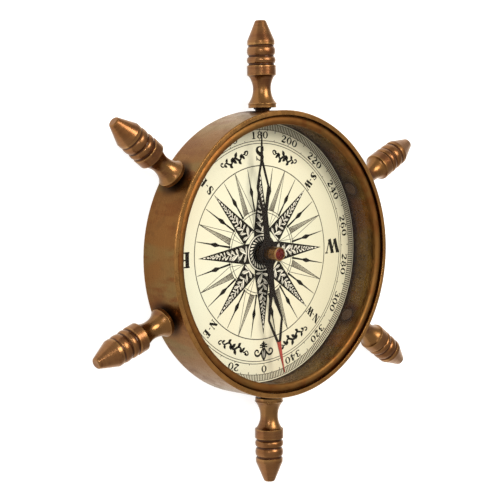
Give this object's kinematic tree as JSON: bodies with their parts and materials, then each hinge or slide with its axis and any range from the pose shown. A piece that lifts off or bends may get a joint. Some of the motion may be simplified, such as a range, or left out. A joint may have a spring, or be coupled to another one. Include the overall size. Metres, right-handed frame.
{
  "type": "drum compass with ship's-wheel handles",
  "caption": "Round brass drum compass with a printed rose dial under glass, a pivoting needle and turned spoke handles around the case.",
  "frame": {"origin": "centre of the case's flat back face, on the needle's pivot axis", "axes": "+Z out of the dial through the glass; +Y towards the dial's S mark and the top handle; +X towards the dial's W mark"},
  "size_m": [0.1163, 0.1266, 0.0134],
  "materials": {
    "case_brass": "antique turned brass, satin",
    "ring_brass": "antique turned brass, satin",
    "handle_brass": "antique turned brass, semi-gloss",
    "stud_metal": "blackened brass",
    "plate_brass": "dull sheet brass",
    "dial_paper": "cream printed card, matt",
    "pivot_brass": "turned brass",
    "pin_steel": "hardened steel",
    "blade_black": "black enamel with a red north point",
    "cap_brass": "bright turned brass",
    "jewel_red": "polished dark red",
    "gasket_black": "matt",
    "window_glass": "clear flat glass"
  },
  "bodies": {
    "case": {"case_cup": "case_brass", "dial_plate": "plate_brass", "dial_card": "dial_paper", "pivot_base": "pivot_brass", "pivot_pin": "pin_steel", "glass_gasket": "gasket_black", "glass": "window_glass", "retaining_ring": "ring_brass", "handle_top": "handle_brass", "handle_upper_left": "handle_brass", "handle_lower_left": "handle_brass", "handle_bottom": "handle_brass", "handle_lower_right": "handle_brass", "handle_upper_right": "handle_brass", "stud_top": "stud_metal", "stud_upper_left": "stud_metal", "stud_lower_left": "stud_metal", "stud_bottom": "stud_metal", "stud_lower_right": "stud_metal", "stud_upper_right": "stud_metal"},
    "needle": {"needle_blade": "blade_black", "needle_cap": "cap_brass", "cap_jewel": "jewel_red"}
  },
  "joints": [
    {"name": "needle_swing", "type": "hinge", "parent": "case", "child": "needle", "pos_m": [0, 0, 0.00955], "axis": [0, 0, 1], "continuous": true}
  ]
}
